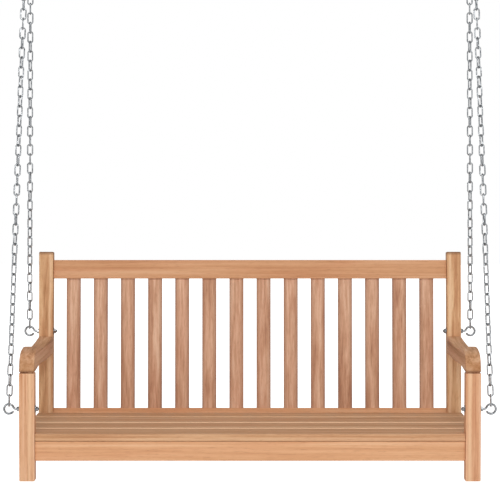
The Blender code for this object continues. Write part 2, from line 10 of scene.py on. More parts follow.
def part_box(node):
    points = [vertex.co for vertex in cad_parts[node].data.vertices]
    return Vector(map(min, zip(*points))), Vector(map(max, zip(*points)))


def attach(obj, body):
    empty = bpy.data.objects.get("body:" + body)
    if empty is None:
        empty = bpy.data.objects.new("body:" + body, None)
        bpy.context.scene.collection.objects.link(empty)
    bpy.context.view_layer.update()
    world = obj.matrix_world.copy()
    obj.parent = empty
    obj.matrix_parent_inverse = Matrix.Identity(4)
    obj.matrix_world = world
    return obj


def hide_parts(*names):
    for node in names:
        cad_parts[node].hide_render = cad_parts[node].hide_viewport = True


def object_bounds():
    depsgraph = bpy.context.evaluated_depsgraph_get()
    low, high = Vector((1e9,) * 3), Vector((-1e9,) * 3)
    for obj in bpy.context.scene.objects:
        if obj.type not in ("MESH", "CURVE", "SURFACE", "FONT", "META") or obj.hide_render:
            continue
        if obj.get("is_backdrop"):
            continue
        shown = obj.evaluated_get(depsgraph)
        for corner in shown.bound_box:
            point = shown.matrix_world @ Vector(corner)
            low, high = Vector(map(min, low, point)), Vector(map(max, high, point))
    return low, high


# Porch swing: slatted teak bench on four galvanised chains. Metres, +Z up, +Y to the back.
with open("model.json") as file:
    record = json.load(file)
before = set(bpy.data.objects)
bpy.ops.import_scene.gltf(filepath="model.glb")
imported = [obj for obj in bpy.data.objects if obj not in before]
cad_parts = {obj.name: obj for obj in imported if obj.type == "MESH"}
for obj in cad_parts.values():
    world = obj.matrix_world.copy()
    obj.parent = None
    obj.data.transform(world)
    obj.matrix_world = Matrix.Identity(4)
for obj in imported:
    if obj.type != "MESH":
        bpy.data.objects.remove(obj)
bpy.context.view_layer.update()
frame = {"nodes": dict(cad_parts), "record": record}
record = frame["record"]
nodes = frame["nodes"]
bodyOf = {node: body for body, members in record["behaviour"]["bodies"].items() for node in members}
sides = {"left": -1, "right": 1}
print("frame loaded:", len(nodes), "nodes")


def linearColour(hexColour):
    channels = [int(hexColour[i:i + 2], 16) / 255 for i in (0, 2, 4)]
    return tuple(c / 12.92 if c <= 0.04045 else ((c + 0.055) / 1.055) ** 2.4 for c in channels) + (1.0,)


def addNode(tree, kind, settings=None, **inputs):
    # an input is named by its socket or by i and a number
    node = tree.nodes.new(kind)
    for key, value in (settings or {}).items():
        setattr(node, key, value)
    for key, value in inputs.items():
        numbered = key[0] == "i" and key[1:].isdigit()
        socket = node.inputs[int(key[1:]) if numbered else key]
        if isinstance(value, bpy.types.NodeSocket):
            tree.links.new(value, socket)
        else:
            socket.default_value = value
    return node


def setStops(ramp, stops):
    elements = ramp.color_ramp.elements
    while len(elements) < len(stops):
        elements.new(0.5)
    for element, (place, colour) in zip(elements, stops):
        element.position = place
        element.color = linearColour(colour)


def newMaterial(name):
    material = bpy.data.materials.new(name)
    material.use_nodes = True
    return material, material.node_tree, material.node_tree.nodes["Principled BSDF"]


multiplyAdd = {"operation": "MULTIPLY_ADD"}
mixColours = {"data_type": "RGBA"}
multiplyColours = {"data_type": "RGBA", "blend_type": "MULTIPLY"}

teakTones = {   # from the darkest grain to the palest
    "leg": ("B0764E", "CD9169", "DFAB83", "EABD99"),
    "post": ("B37F53", "CB966B", "DDAF82", "EEC79C"),
    "arm": ("A4734B", "C28F66", "D5A47D", "E2B894"),
    "apron": ("D0956A", "DBA276", "E3AD82", "E8B78E"),
    "rail": ("C2885D", "CE966B", "D9A379", "DFAD85"),
    "seat": ("BA875E", "C9966C", "D8A980", "DFB58D"),
    "back": ("AE7B5F", "C99777", "DCAE8F", "E9C1A3"),
}
toneStops = (0.38, 0.55, 0.70, 0.86)   # where each of the four tones sits on the ramp
teakGrain = {   # mm across and along the grain, then detail and distortion
    "band": (16.0, 900.0, 0.0, 2.0, 0.5),       # broad bands of early and late growth
    "streak": (5.0, 260.0, 11.0, 3.0, 0.3),
    "fibre": (1.5, 22.0, 23.0, 2.0, 0.0),       # open pores, drawn a little coarser than real ones
    "patch": (38.0, 520.0, 41.0, 1.0, 0.8),     # where heartwood runs pinker
}
teakFinish = {
    "bandWeight": 0.85, "bandShift": -0.15, "streakWeight": 0.60, "fibreWeight": 0.12,
    "pinkTone": "F2D8D2", "pinkMost": 0.25, "pinkFrom": 0.48, "pinkTo": 0.66,
    "poreTone": "7A4A2E", "poreMost": 0.16, "poreFrom": 0.30, "poreTo": 0.44,
    "roughFrom": 0.3, "roughTo": 0.7, "roughest": 0.66, "smoothest": 0.50,
    "fibreDepth": 0.00012, "grainStrength": 0.35,
    "refraction": 1.48, "sheen": 0.35,
}
woodAxes = {"X": 0, "Y": 1, "Z": 2}
grainStep = (7.31, 3.17, 5.53)   # from one piece's figure to the next
grainWays = (1, -1, 2)           # how each layer's shift is spread over the three axes
noiseRoughness = 0.55
mmPerMetre = 1000.0


def oiledTeak(name, kind, grain, seed, marks):
    # Planed teak with a thin coat of oil: warm honey brown in long bands,
    # fine pores along the grain and a dull sheen. Each piece has its own figure.
    material, tree, shader = newMaterial(name)
    place = addNode(tree, "ShaderNodeTexCoord").outputs["Object"]
    finish = teakFinish

    def grainNoise(layer):
        across, along, shift, detail, distortion = teakGrain[layer]
        scale = [mmPerMetre / across] * 3
        scale[woodAxes[grain]] = mmPerMetre / along
        offset = [seed * step + way * shift for step, way in zip(grainStep, grainWays)]
        mapped = addNode(tree, "ShaderNodeMapping", Vector=place, Location=offset, Scale=scale)
        noise = addNode(tree, "ShaderNodeTexNoise", Vector=mapped.outputs["Vector"], Scale=1.0,
                        Detail=detail, Roughness=noiseRoughness, Distortion=distortion)
        return noise.outputs["Fac"]

    band, streak, fibre, patch = (grainNoise(layer) for layer in ("band", "streak", "fibre", "patch"))
    half = addNode(tree, "ShaderNodeMath", multiplyAdd, i0=band, i1=finish["bandWeight"],
                   i2=finish["bandShift"])
    most = addNode(tree, "ShaderNodeMath", multiplyAdd, i0=streak, i1=finish["streakWeight"],
                   i2=half.outputs[0])
    tone = addNode(tree, "ShaderNodeMath", multiplyAdd, i0=fibre, i1=finish["fibreWeight"],
                   i2=most.outputs[0])
    ramp = addNode(tree, "ShaderNodeValToRGB", Fac=tone.outputs[0])
    setStops(ramp, list(zip(toneStops, teakTones[kind])))

    pink = addNode(tree, "ShaderNodeMapRange", Value=patch, i1=finish["pinkFrom"], i2=finish["pinkTo"],
                   i3=0.0, i4=finish["pinkMost"])
    warm = addNode(tree, "ShaderNodeMix", multiplyColours, i0=pink.outputs[0], i6=ramp.outputs["Color"],
                   i7=linearColour(finish["pinkTone"]))
    wood = warm.outputs[2]
    for mark in marks:
        wood = addMark(tree, wood, place, patch, mark)

    pore = addNode(tree, "ShaderNodeMapRange", Value=fibre, i1=finish["poreFrom"], i2=finish["poreTo"],
                   i3=finish["poreMost"], i4=0.0)
    pored = addNode(tree, "ShaderNodeMix", multiplyColours, i0=pore.outputs[0], i6=wood,
                    i7=linearColour(finish["poreTone"]))
    rough = addNode(tree, "ShaderNodeMapRange", Value=fibre, i1=finish["roughFrom"], i2=finish["roughTo"],
                    i3=finish["roughest"], i4=finish["smoothest"])
    bump = addNode(tree, "ShaderNodeBump", Height=fibre, Strength=finish["grainStrength"],
                   Distance=finish["fibreDepth"])
    tree.links.new(pored.outputs[2], shader.inputs["Base Color"])
    tree.links.new(rough.outputs[0], shader.inputs["Roughness"])
    tree.links.new(bump.outputs[0], shader.inputs["Normal"])
    shader.inputs["IOR"].default_value = finish["refraction"]
    shader.inputs["Specular IOR Level"].default_value = finish["sheen"]
    return material


def addMark(tree, wood, place, patch, mark):
    # a strip of another tone, such as sapwood, or a strip of painted light and shade, such as a painted
    # highlight on an edge or painted shade at a top, an edge or under a part
    along = addNode(tree, "ShaderNodeSeparateXYZ", Vector=place).outputs[mark["axis"]]
    bent = addNode(tree, "ShaderNodeMath", multiplyAdd, i0=patch, i1=mark["wander"], i2=along)
    middle = mark["at"] + mark["wander"] / 2
    away = addNode(tree, "ShaderNodeMath", {"operation": "SUBTRACT"}, i0=bent.outputs[0], i1=middle)
    gap = addNode(tree, "ShaderNodeMath", {"operation": "ABSOLUTE"}, i0=away.outputs[0])
    share = addNode(tree, "ShaderNodeMapRange", Value=gap.outputs[0], i1=mark["core"], i2=mark["reach"],
                    i3=mark["strength"], i4=0.0)
    mixed = addNode(tree, "ShaderNodeMix", mixColours, i0=share.outputs[0], i6=wood,
                    i7=linearColour(mark["tone"]))
    return mixed.outputs[2]


zincFinish = {
    "cloudSize": 2.5, "cloudDetail": 3.0,   # clouds are this many crystals across
    "crystalWeight": 0.4, "darkStop": 0.40, "lightStop": 0.85,
    "roughFrom": 0.3, "roughTo": 1.0, "dullness": 0.12,
    "bumpStrength": 0.2, "bumpDepth": 0.0001,
}


def zincSteel(name, light, dark, roughness, mottle):
    # Zinc over steel: pale grey, mottled where the crystals meet, duller in the dark patches.
    # The mottle is a size in mm.
    material, tree, shader = newMaterial(name)
    place = addNode(tree, "ShaderNodeTexCoord").outputs["Object"]
    finish = zincFinish
    crystals = addNode(tree, "ShaderNodeTexVoronoi", {"feature": "F1"}, Vector=place,
                       Scale=mmPerMetre / mottle)
    cloud = addNode(tree, "ShaderNodeTexNoise", Vector=place, Detail=finish["cloudDetail"],
                    Scale=mmPerMetre / (mottle * finish["cloudSize"]))
    blend = addNode(tree, "ShaderNodeMath", multiplyAdd, i0=crystals.outputs["Color"],
                    i1=finish["crystalWeight"], i2=cloud.outputs["Fac"])
    ramp = addNode(tree, "ShaderNodeValToRGB", Fac=blend.outputs[0])
    setStops(ramp, ((finish["darkStop"], dark), (finish["lightStop"], light)))
    rough = addNode(tree, "ShaderNodeMapRange", Value=blend.outputs[0], i1=finish["roughFrom"],
                    i2=finish["roughTo"], i3=roughness + finish["dullness"], i4=roughness)
    bump = addNode(tree, "ShaderNodeBump", Height=cloud.outputs["Fac"], Strength=finish["bumpStrength"],
                   Distance=finish["bumpDepth"])
    tree.links.new(ramp.outputs["Color"], shader.inputs["Base Color"])
    tree.links.new(rough.outputs[0], shader.inputs["Roughness"])
    tree.links.new(bump.outputs[0], shader.inputs["Normal"])
    shader.inputs["Metallic"].default_value = 1.0
    return material


chainZinc = zincSteel("galvanised_chain", "C3C6C9", "72777B", roughness=0.28, mottle=2.5)
fittingZinc = zincSteel("zinc_plated_fittings", "B9BCBF", "72777B", roughness=0.24, mottle=4.0)
print("materials ready")


smoothBelow = {"timber": 35, "wire": 45, "turned": 30, "forged": 40, "pressed": 30}   # degrees


def onlySelect(piece):
    bpy.ops.object.select_all(action="DESELECT")
    piece.select_set(True)
    bpy.context.view_layer.objects.active = piece


def pick(piece, kind, test):
    # in edit mode: selects the vertices, edges or faces that pass
    bpy.ops.mesh.select_mode(type=kind)
    bpy.ops.mesh.select_all(action="DESELECT")
    bm = bmesh.from_edit_mesh(piece.data)
    items = {"VERT": bm.verts, "EDGE": bm.edges, "FACE": bm.faces}[kind]
    for item in items:
        if test(item):
            item.select_set(True)
    bm.select_flush_mode()
    bmesh.update_edit_mesh(piece.data)


def applyAll(piece):
    onlySelect(piece)
    for modifier in list(piece.modifiers):
        bpy.ops.object.modifier_apply(modifier=modifier.name)
    bpy.ops.object.transform_apply(location=True, rotation=True, scale=True)


def smooth(piece, angle):
    onlySelect(piece)
    bpy.ops.object.shade_smooth_by_angle(angle=math.radians(angle))


cadMerge = {"near": 0.00001, "flat": 0.4}   # metres between doubled points, degrees within one flat face


def cadCopy(node, name):
    # a merged copy of a CAD node with its flat faces whole again
    piece = bpy.data.objects.new(name, nodes[node].data.copy())
    bpy.context.scene.collection.objects.link(piece)
    onlySelect(piece)
    bpy.ops.object.mode_set(mode="EDIT")
    bpy.ops.mesh.select_all(action="SELECT")
    bpy.ops.mesh.remove_doubles(threshold=cadMerge["near"])
    bpy.ops.mesh.dissolve_limited(angle_limit=math.radians(cadMerge["flat"]))
    bpy.ops.object.mode_set(mode="OBJECT")
    return piece


def stands(piece, node, material):
    piece.data.materials.clear()
    piece.data.materials.append(material)
    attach(piece, bodyOf[node])
    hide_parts(node)


easing = {"leg": 0.0022, "post": 0.0018, "arm": 0.0030, "apron": 0.0015, "rail": 0.0018,
          "seat": 0.0012, "back": 0.0028}
shadowLine = {"tall": 0.0040, "deep": 0.007, "side": 0.002, "fit": 0.0003}   # at the armrest's joint
cutReach = 0.002   # how far a cutting block reaches past what it cuts
# each mark is a strip across an axis: its half width, where it has faded out, and how far it wanders
sapwood = {"axis": "X", "core": 0.001, "reach": 0.006, "strength": 0.75, "tone": "F0C79E", "wander": 0.012}
sapwoodInset = {"leg": 0.013, "post": 0.009}   # of the pale stripe, from the inner face
# painted shade: each back slat is drawn darker towards both long edges, where its eased edges turn from the
# light
backSlatEdgeShade = {"axis": "X", "core": 0.0, "reach": 0.011, "strength": 0.75, "tone": "A1745C", "wander": 0.0}
# painted shade: the back post is drawn darker within 10 mm of its top
postTopShade = {"axis": "Z", "core": 0.001, "reach": 0.010, "strength": 0.85, "tone": "7C5236", "wander": 0.0}
# painted highlight: the rounded front edge of each seat slat behind the front one is drawn paler
seatEdgeHighlight = {"axis": "Y", "core": 0.004, "reach": 0.008, "strength": 0.85, "tone": "F5CDA6", "wander": 0.0}
# painted shade: the armrest is drawn darker along its underside, over its joint with the leg
armUnderShade = {"axis": "Z", "core": 0.0, "reach": 0.006, "strength": 0.7, "tone": "7C5236", "wander": 0.0}
armNose = {"axis": "Y", "core": 0.004, "reach": 0.016, "strength": 0.5, "tone": "A8703E", "wander": 0.0}
rearSlatHighlight = {"share": 0.45, "from": 0.2}   # the painted highlight is weaker on the slat against the back
behindFront = 0.02   # only slats this far behind the front one get the painted highlight
easedCorner = {"sharpest": 40, "steps": 2, "probe": 0.0006}


def openEdge(piece, probe, joint):
    # tells an outside corner from the mouth of a mortise, where the piece faces itself.
    # Edges at the joint's height stay crisp.
    bm = bmesh.new()
    bm.from_mesh(piece.data)
    tree = BVHTree.FromBMesh(bm)
    bm.free()

    def test(edge):
        if len(edge.link_faces) != 2 or not edge.is_convex:
            return False
        if edge.calc_face_angle(0.0) < math.radians(easedCorner["sharpest"]):
            return False
        if all(abs(vert.co.z - joint) < 2 * shadowLine["fit"] for vert in edge.verts):
            return False
        middle = (edge.verts[0].co + edge.verts[1].co) / 2
        first, second = (face.normal for face in edge.link_faces)
        for out, back in ((first, second), (second, first)):
            start = middle + out * probe - back * probe
            if tree.ray_cast(start, out)[0] is not None:
                return False
        return True
    return test


def addBlock(low, high):
    bpy.ops.object.select_all(action="DESELECT")
    bpy.ops.mesh.primitive_cube_add(size=1, location=(low + high) / 2, scale=high - low)
    return bpy.context.active_object


def boolean(piece, tool, operation):
    modifier = piece.modifiers.new("tool", "BOOLEAN")
    modifier.operation = operation
    modifier.solver = "EXACT"
    modifier.object = tool
    onlySelect(piece)
    bpy.ops.object.modifier_apply(modifier=modifier.name)
    bpy.data.objects.remove(tool, do_unlink=True)


def cutShadowLine(piece, node, joint):
    # the leg's shoulder is cut back, most at the front and back, which leaves a dark line under the arm
    low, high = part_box(node)
    around = Vector((cutReach, cutReach, 0))
    above = Vector((0, 0, cutReach))
    inset = Vector((shadowLine["side"], shadowLine["deep"], 0))
    low.z = joint - shadowLine["fit"] - shadowLine["tall"]
    high.z = joint - shadowLine["fit"] / 2
    slab = addBlock(low - around, high + around)
    boolean(slab, addBlock(low + inset - above, high - inset + above), "DIFFERENCE")
    boolean(piece, slab, "DIFFERENCE")


seatFront = min(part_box(node)[0].y for node in nodes if node.startswith("seat_slat"))


def makeTimber(node, kind, grain, seed):
    piece = cadCopy(node, f"{node}_timber")
    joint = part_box("armrest_left")[0].z
    test = openEdge(piece, easedCorner["probe"], joint)
    bpy.ops.object.mode_set(mode="EDIT")
    pick(piece, "EDGE", test)
    bpy.ops.mesh.bevel(offset=easing[kind], segments=easedCorner["steps"], affect="EDGES",
                       clamp_overlap=True)
    bpy.ops.object.mode_set(mode="OBJECT")
    if kind == "leg":
        cutShadowLine(piece, node, joint)
    smooth(piece, smoothBelow["timber"])
    weighted = piece.modifiers.new("weighted", "WEIGHTED_NORMAL")
    weighted.keep_sharp = True
    applyAll(piece)
    low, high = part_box(node)
    marks = []
    if kind in sapwoodInset:
        inset = sapwoodInset[kind]
        marks.append(dict(sapwood, at=high.x - inset if high.x < 0 else low.x + inset))
    # painted shade at the top of each back post
    if kind == "post":
        marks.append(dict(postTopShade, at=high.z))
    # the nose in a darker golden tone of its own, and painted shade along the underside
    if kind == "arm":
        marks += [dict(armNose, at=low.y), dict(armUnderShade, at=low.z)]
    # painted shade along both long edges of each back slat
    if kind == "back":
        marks += [dict(backSlatEdgeShade, at=low.x), dict(backSlatEdgeShade, at=high.x)]
    # painted highlight along the front edge of the seat slats behind the front one
    if node.startswith("seat_slat") and low.y > seatFront + behindFront:
        highlight = seatEdgeHighlight["strength"] * (rearSlatHighlight["share"] if high.y > rearSlatHighlight["from"] else 1.0)
        marks.append(dict(seatEdgeHighlight, at=low.y, strength=highlight))
    stands(piece, node, oiledTeak(f"oiled_teak_{node}", kind, grain, seed, marks))


timbers = [("front_rail", "apron", "X"), ("rear_rail", "apron", "X"), ("top_rail", "rail", "X"),
           ("centre_support", "rail", "Y")]
for side in sides:
    timbers += [(f"front_leg_{side}", "leg", "Z"), (f"back_post_{side}", "post", "Z"),
                (f"armrest_{side}", "arm", "Y"), (f"side_rail_{side}", "rail", "Y")]
timbers += [(node, "seat", "X") for node in sorted(nodes) if node.startswith("seat_slat")]
timbers += [(node, "back", "Z") for node in sorted(nodes) if node.startswith("back_slat")]
for seed, (node, kind, grain) in enumerate(timbers):
    makeTimber(node, kind, grain, seed + 1)
print("timbers ready:", len(timbers))


link = {"wire": 0.004, "width": 0.0175, "pitch": 0.0265, "around": 6, "along": 12,
        "play": 0.0001, "seatGap": 0.0007, "twist": {"front": 40, "back": 34}, "waves": 1.5}
eye = {"wire": 0.006, "radius": 0.0125, "reach": 0.028}
ring = {"wire": 0.006, "radius": 0.023, "splay": 0.0055}


def makeLink(reach):
    # one link standing on Z in the XZ plane: a ring whose halves are drawn apart
    halfStep = math.pi / link["along"]
    bow = (link["width"] - link["wire"]) / 2 / math.cos(halfStep)
    bpy.ops.object.select_all(action="DESELECT")
    bpy.ops.mesh.primitive_torus_add(major_radius=bow, minor_radius=link["wire"] / 2,
                                     major_segments=link["along"], minor_segments=link["around"])
    piece = bpy.context.active_object
    piece.rotation_euler = (0, 0, halfStep)
    bpy.ops.object.transform_apply(rotation=True)
    piece.rotation_euler = (math.pi / 2, 0, 0)
    bpy.ops.object.transform_apply(rotation=True)
    draw = reach / 2 - bow * math.cos(halfStep)
    bpy.ops.object.mode_set(mode="EDIT")
    for up in (1, -1):
        pick(piece, "VERT", lambda vert: vert.co.z * up > 0)
        bpy.ops.transform.translate(value=(0, 0, up * draw))
    bpy.ops.object.mode_set(mode="OBJECT")
    bpy.ops.object.shade_smooth()
    return piece


def boxMiddle(node):
    low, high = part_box(node)
    return (low + high) / 2


def eyeMiddle(end, side):
    # across the bench the eye stands off the leg or post, the rest comes from its bolt
    timber = {"front": "front_leg", "back": "back_post"}[end]
    low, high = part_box(f"{timber}_{side}")
    face = high.x if sides[side] > 0 else low.x
    middle = boxMiddle(f"eye_bolt_{end}_{side}")
    return Vector((face + sides[side] * eye["reach"], middle.y, middle.z))


def chainEnds(end, side):
    # the middle of the wire of the lowest link in the eye, and of the top link over the ring
    seat = eye["wire"] / 2 + link["wire"] / 2 + link["seatGap"]
    low = eyeMiddle(end, side) + Vector((0, 0, eye["radius"] - seat))
    fore = 1 if end == "back" else -1
    lean = math.asin(ring["splay"] / ring["radius"])
    drop = ring["radius"] - seat
    high = boxMiddle(f"hanging_ring_{side}")
    high += Vector((0, fore * drop * math.sin(lean), -drop * math.cos(lean)))
    return low, high


def makeChain(end, side):
    # every link turns a quarter from the last, and the whole chain is a little twisted
    low, high = chainEnds(end, side)
    span = (high - low).length
    hooked = link["wire"] + link["play"]
    count = 2 * round((span - link["wire"]) / link["pitch"] / 2)
    reach = (span + (count - 1) * hooked) / count
    up = (high - low).normalized()
    across = Vector((0, 1, 0)).cross(up).normalized()
    line = Matrix.Translation(low) @ Matrix((across, up.cross(across), up)).transposed().to_4x4()
    first = makeLink(reach)
    links = [first]
    for number in range(count):
        piece = first
        if number:
            piece = bpy.data.objects.new("link", first.data.copy())
            bpy.context.scene.collection.objects.link(piece)
            links.append(piece)
        wave = math.sin(math.tau * link["waves"] * number / (count - 1))
        turn = math.radians(90 * (number + 1) + sides[side] * link["twist"][end] * wave)
        height = number * (reach - hooked) + reach / 2
        piece.matrix_world = line @ Matrix.Translation((0, 0, height)) @ Matrix.Rotation(turn, 4, "Z")
    bpy.ops.object.select_all(action="DESELECT")
    for piece in links:
        piece.select_set(True)
    bpy.context.view_layer.objects.active = first
    bpy.ops.object.join()
    first.name = f"chain_links_{end}_{side}"
    applyAll(first)
    stands(first, f"chain_{end}_{side}", chainZinc)
    return count


counts = [makeChain(end, side) for end in ("front", "back") for side in sides]
print("chains ready, links:", counts)


bolt = {"sides": 14, "opening": 208, "bend": 0.008, "loopSteps": 26, "bendSteps": 6,
        "tail": 0.0032, "threadPitch": 0.001, "threadDepth": 0.86}


def extrudeTo(piece, here, there):
    bpy.ops.mesh.extrude_region_move(TRANSFORM_OT_translate={"value": (there - here, 0, 0)})
    return there


def makeEyeBolt(end, side):
    # drawn round an eye at the origin with its shank along -X, then turned to its side
    node = f"eye_bolt_{end}_{side}"
    radius, bend = eye["radius"], bolt["bend"]
    start = math.radians(bolt["opening"] - 360)
    leave = math.pi - math.asin(bend / (radius + bend))
    bpy.ops.object.select_all(action="DESELECT")
    bpy.ops.mesh.primitive_circle_add(vertices=bolt["sides"], radius=eye["wire"] / 2,
                                      fill_type="NGON", location=(radius, 0, 0))
    piece = bpy.context.active_object
    piece.name = f"bent_{node}"
    bpy.ops.object.transform_apply(location=True)
    piece.rotation_euler = (0, -start, 0)
    bpy.ops.object.transform_apply(rotation=True)
    bpy.ops.object.mode_set(mode="EDIT")
    bpy.ops.mesh.select_all(action="SELECT")
    bpy.ops.mesh.spin(steps=bolt["loopSteps"], angle=leave - start, center=(0, 0, 0), axis=(0, 1, 0))
    centre = ((radius + bend) * math.cos(leave), 0, (radius + bend) * math.sin(leave))
    bpy.ops.mesh.spin(steps=bolt["bendSteps"], angle=leave - math.pi / 2, center=centre, axis=(0, -1, 0))
    here = centre[0]
    low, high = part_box(node)
    last = -(high.x - low.x) + (max(abs(low.x), abs(high.x)) - abs(eyeMiddle(end, side).x))
    here = extrudeTo(piece, here, last + bolt["tail"])
    crest = 1.0
    for turn in range(round(2 * bolt["tail"] / bolt["threadPitch"])):
        here = extrudeTo(piece, here, here - bolt["threadPitch"] / 2)
        wanted = bolt["threadDepth"] if turn % 2 == 0 else 1.0
        bpy.ops.transform.resize(value=(1, wanted / crest, wanted / crest), center_override=(here, 0, 0))
        crest = wanted
    bpy.ops.mesh.select_all(action="SELECT")
    bpy.ops.mesh.normals_make_consistent(inside=False)
    bpy.ops.object.mode_set(mode="OBJECT")
    smooth(piece, smoothBelow["wire"])
    piece.rotation_euler = (0, 0, 0 if sides[side] > 0 else math.pi)
    piece.location = eyeMiddle(end, side)
    applyAll(piece)
    stands(piece, node, fittingZinc)


for end in ("front", "back"):
    for side in sides:
        makeEyeBolt(end, side)
print("eye bolts ready")


nut = {"flats": 0.011, "thick": 0.0055, "chamfer": 0.0008, "bore": 0.0031, "turn": 17, "trim": 1.005}
washer = {"radius": 0.010, "thick": 0.0015, "ease": 0.0003, "bore": 0.0033}


def makeDisc(radius, thick, ease, corners=32, steps=2):
    # a disc or prism on X with eased rims
    bpy.ops.object.select_all(action="DESELECT")
    bpy.ops.mesh.primitive_cylinder_add(vertices=corners, radius=radius, depth=thick,
                                        rotation=(0, math.pi / 2, 0))
    piece = bpy.context.active_object
    bpy.ops.object.transform_apply(rotation=True)
    if ease:
        bpy.ops.object.mode_set(mode="EDIT")
        pick(piece, "EDGE", lambda edge: abs(edge.verts[0].co.x - edge.verts[1].co.x) < 1e-6)
        bpy.ops.mesh.bevel(offset=ease, segments=steps, affect="EDGES")
        bpy.ops.object.mode_set(mode="OBJECT")
    return piece


def bored(piece, radius):
    boolean(piece, makeDisc(radius, 4 * eye["wire"], 0, corners=24), "DIFFERENCE")
    smooth(piece, smoothBelow["turned"])
    return piece


corner = nut["flats"] / math.sqrt(3)
plainNut = makeDisc(corner, nut["thick"], 0, corners=6)
boolean(plainNut, makeDisc(corner * nut["trim"], nut["thick"], nut["chamfer"], steps=1), "INTERSECT")
plainNut = bored(plainNut, nut["bore"])
plainWasher = bored(makeDisc(washer["radius"], washer["thick"], washer["ease"]), washer["bore"])
for kind, pattern in (("nut", plainNut), ("washer", plainWasher)):
    places = [node for node in sorted(nodes) if node.startswith(kind)]
    for number, node in enumerate(places):
        piece = bpy.data.objects.new(f"turned_{node}", pattern.data.copy())
        bpy.context.scene.collection.objects.link(piece)
        turn = nut["turn"] * number if kind == "nut" else 0   # each nut stopped at its own angle
        piece.rotation_euler = (math.radians(turn), 0, 0)
        piece.location = boxMiddle(node)
        applyAll(piece)
        stands(piece, node, fittingZinc)
    bpy.data.objects.remove(pattern, do_unlink=True)
print("nuts and washers ready")


hanger = {"eyeRadius": 0.016, "eyeWire": 0.008, "stem": 0.0036, "weld": 0.0058, "weldHeight": 0.0025,
          "weldFoot": 1.05, "weldGap": 0.0001}
weldBead = {"from": 0.8, "half": 0.07, "wide": 1.03, "tall": 1.06}   # where a ring is welded shut
ringSlim = 0.985   # leaves room for the bead
plate = {"corner": 0.006, "ease": 0.0006, "hole": 0.0035, "spacing": 0.064,
         "stemPlay": 0.0003, "drill": 0.03, "upright": 0.001, "level": 0.0001}
screw = {"head": 0.0060, "height": 0.0030, "shank": 0.0026, "slot": 0.0012, "slotDeep": 0.0014,
         "dome": 0.7, "slotLong": 1.1, "smoothBelow": 35, "turn": 23}


def makeRing(name, radius, wire, rotation):
    # a welded ring: the wire is a little fatter over the weld
    bpy.ops.object.select_all(action="DESELECT")
    bpy.ops.mesh.primitive_torus_add(major_radius=radius, minor_radius=wire / 2,
                                     major_segments=48, minor_segments=14)
    piece = bpy.context.active_object
    piece.name = name
    bpy.ops.object.mode_set(mode="EDIT")
    first, half = radius * weldBead["from"], radius * weldBead["half"]
    pick(piece, "VERT", lambda vert: vert.co.x > first and abs(vert.co.y) < half)
    bpy.ops.transform.resize(value=(weldBead["wide"], 1, weldBead["tall"]), center_override=(radius, 0, 0))
    bpy.ops.object.mode_set(mode="OBJECT")
    bpy.ops.object.shade_smooth()
    piece.rotation_euler = rotation
    bpy.ops.object.transform_apply(rotation=True)
    return piece


def makeHangingRing(side):
    node = f"hanging_ring_{side}"
    piece = makeRing(f"welded_{node}", ring["radius"], ring["wire"] * ringSlim, (0, math.pi / 2, 0))
    piece.location = boxMiddle(node)
    applyAll(piece)
    stands(piece, node, fittingZinc)


def makeCeilingEye(side):
    # a forged eye with a stem that is welded to the plate
    node = f"ceiling_eye_{side}"
    low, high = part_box(node)
    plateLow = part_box(f"ceiling_plate_{side}")[0].z
    middle = boxMiddle(node)
    middle.z = low.z + hanger["eyeWire"] / 2 + hanger["eyeRadius"]
    piece = makeRing(f"forged_{node}", hanger["eyeRadius"], hanger["eyeWire"], (math.pi / 2, 0, 0))
    foot = hanger["eyeRadius"]
    tall = high.z - middle.z - foot
    bpy.ops.object.select_all(action="DESELECT")
    bpy.ops.mesh.primitive_cylinder_add(vertices=24, radius=hanger["stem"], depth=tall,
                                        location=(0, 0, foot + tall / 2))
    stem = bpy.context.active_object
    bpy.ops.object.transform_apply(location=True)
    boolean(piece, stem, "UNION")
    bpy.ops.object.select_all(action="DESELECT")
    weldTop = plateLow - middle.z - hanger["weldGap"]
    bpy.ops.mesh.primitive_cone_add(vertices=24, radius1=hanger["stem"] * hanger["weldFoot"],
                                    radius2=hanger["weld"], depth=hanger["weldHeight"],
                                    location=(0, 0, weldTop - hanger["weldHeight"] / 2))
    weld = bpy.context.active_object
    bpy.ops.object.transform_apply(location=True)
    boolean(piece, weld, "UNION")
    smooth(piece, smoothBelow["forged"])
    piece.location = middle
    applyAll(piece)
    stands(piece, node, fittingZinc)


def makeCeilingPlate(side):
    # pressed plate with round corners and two screw holes
    node = f"ceiling_plate_{side}"
    low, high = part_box(node)
    middle = (low + high) / 2
    bpy.ops.object.select_all(action="DESELECT")
    bpy.ops.mesh.primitive_cube_add(size=1, scale=high - low)
    piece = bpy.context.active_object
    piece.name = f"pressed_{node}"
    bpy.ops.object.transform_apply(scale=True)
    bpy.ops.object.mode_set(mode="EDIT")
    pick(piece, "EDGE", lambda edge: abs(edge.verts[0].co.z - edge.verts[1].co.z) > plate["upright"])
    bpy.ops.mesh.bevel(offset=plate["corner"], segments=6, affect="EDGES")
    pick(piece, "EDGE", lambda edge: abs(edge.verts[0].co.z - edge.verts[1].co.z) < plate["level"])
    bpy.ops.mesh.bevel(offset=plate["ease"], segments=2, affect="EDGES")
    bpy.ops.object.mode_set(mode="OBJECT")
    half = plate["spacing"] / 2
    holes = ((0, hanger["stem"] + plate["stemPlay"]), (half, plate["hole"]), (-half, plate["hole"]))
    for offset, radius in holes:
        bpy.ops.object.select_all(action="DESELECT")
        bpy.ops.mesh.primitive_cylinder_add(vertices=32, radius=radius, depth=plate["drill"],
                                            location=(0, offset, 0))
        boolean(piece, bpy.context.active_object, "DIFFERENCE")
    smooth(piece, smoothBelow["pressed"])
    piece.location = middle
    applyAll(piece)
    stands(piece, node, fittingZinc)


